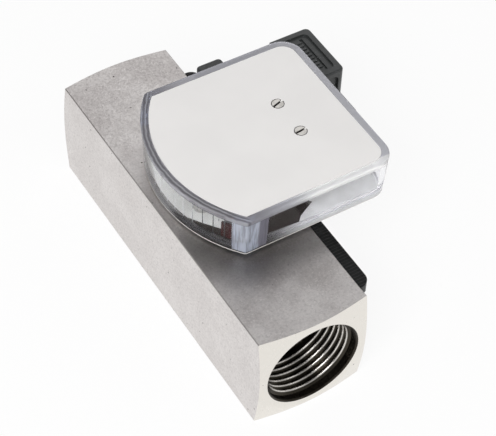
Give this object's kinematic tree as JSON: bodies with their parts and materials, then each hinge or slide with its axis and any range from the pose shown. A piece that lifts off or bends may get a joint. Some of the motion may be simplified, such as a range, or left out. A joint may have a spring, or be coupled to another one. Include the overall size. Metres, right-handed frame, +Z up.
{
  "type": "variable area flow meter",
  "caption": "Square steel flow meter body with threaded ports, spring-loaded piston, clear D-shaped dial box with a magnetic pointer, and a contact with plug on a side rail.",
  "frame": {"origin": "centre of the inlet port's mouth, on the flow axis", "axes": "+Y along the flow from inlet to outlet, +Z up out of the face that carries the dial, +X across the block towards the rail and the contact"},
  "size_m": [0.0908, 0.1325, 0.0572],
  "materials": {
    "block_steel": "ground and bead blasted stainless steel",
    "bore_steel": "turned stainless steel",
    "spring_steel": "bright spring wire",
    "screw_steel": "bright machined steel",
    "rubber_black": "matte",
    "clear_plastic": "polished clear acrylic",
    "clear_foil": "thin clear foil",
    "plate_white": "satin white",
    "brass": "turned",
    "bush_white": "smooth",
    "magnet_dark": "sintered",
    "pointer_sheet": "dark anodised",
    "flag_red": "red paint",
    "rail_black": "black anodised",
    "housing_black": "moulded, fine grain",
    "plug_black": "moulded, fine grain",
    "board_green": "glass fibre laminate",
    "reed_glass": "clear",
    "blade_tin": "tin plated"
  },
  "bodies": {
    "meter_body": {"steel_block": "block_steel", "metering_sleeve": "bore_steel", "inlet_guide": "bore_steel", "outlet_guide": "bore_steel", "inlet_retaining_ring": "spring_steel", "outlet_retaining_ring": "spring_steel", "guide_rod": "bore_steel", "return_spring": "spring_steel", "mounting_pad": "rubber_black", "clear_base": "clear_plastic", "clear_wall": "clear_plastic", "scale_foil": "clear_foil", "top_plate": "plate_white", "plate_screws": "screw_steel", "plate_spacers": "brass", "bearing_bridge": "brass", "lower_bearing_bush": "bush_white", "upper_bearing_bush": "bush_white", "stop_pins": "screw_steel", "base_screws": "screw_steel", "switch_rail": "rail_black", "rail_screws": "screw_steel"},
    "piston": {"metering_piston": "bore_steel", "piston_bushes": "bush_white", "piston_magnet": "magnet_dark", "magnet_nut": "bore_steel"},
    "pointer": {"pointer_spindle": "screw_steel", "pointer_hub": "brass", "pointer_arm": "pointer_sheet", "pointer_flag": "flag_red", "follower_magnet": "magnet_dark", "counterweight": "brass"},
    "contact": {"contact_housing": "housing_black", "housing_lid": "housing_black", "lid_screws": "screw_steel", "lock_screw": "screw_steel", "contact_board": "board_green", "reed_switch": "reed_glass", "contact_blades": "blade_tin", "plug_gasket": "rubber_black", "plug_insert": "housing_black", "plug_hood": "plug_black", "plug_screw": "screw_steel", "gland_nut": "plug_black", "gland_seal": "rubber_black"}
  },
  "joints": [
    {"name": "piston_slide", "type": "slide", "parent": "meter_body", "child": "piston", "axis": [0, 1, 0], "range_m": [0, 0.03485], "stiffness_N_per_m": 120, "springref_m": -0.01, "deforming": ["return_spring"]},
    {"name": "pointer_turn", "type": "hinge", "parent": "meter_body", "child": "pointer", "pos_m": [0.0306, 0.0668, 0.027], "axis": [0, 0, -1], "range_deg": [0, 66]},
    {"name": "contact_slide", "type": "slide", "parent": "meter_body", "child": "contact", "axis": [0, -1, 0], "range_m": [0, 0.03485]}
  ],
  "couplings": [
    {"joint": "pointer_turn", "follows": "piston_slide", "rad_per_m": 33.05}
  ]
}
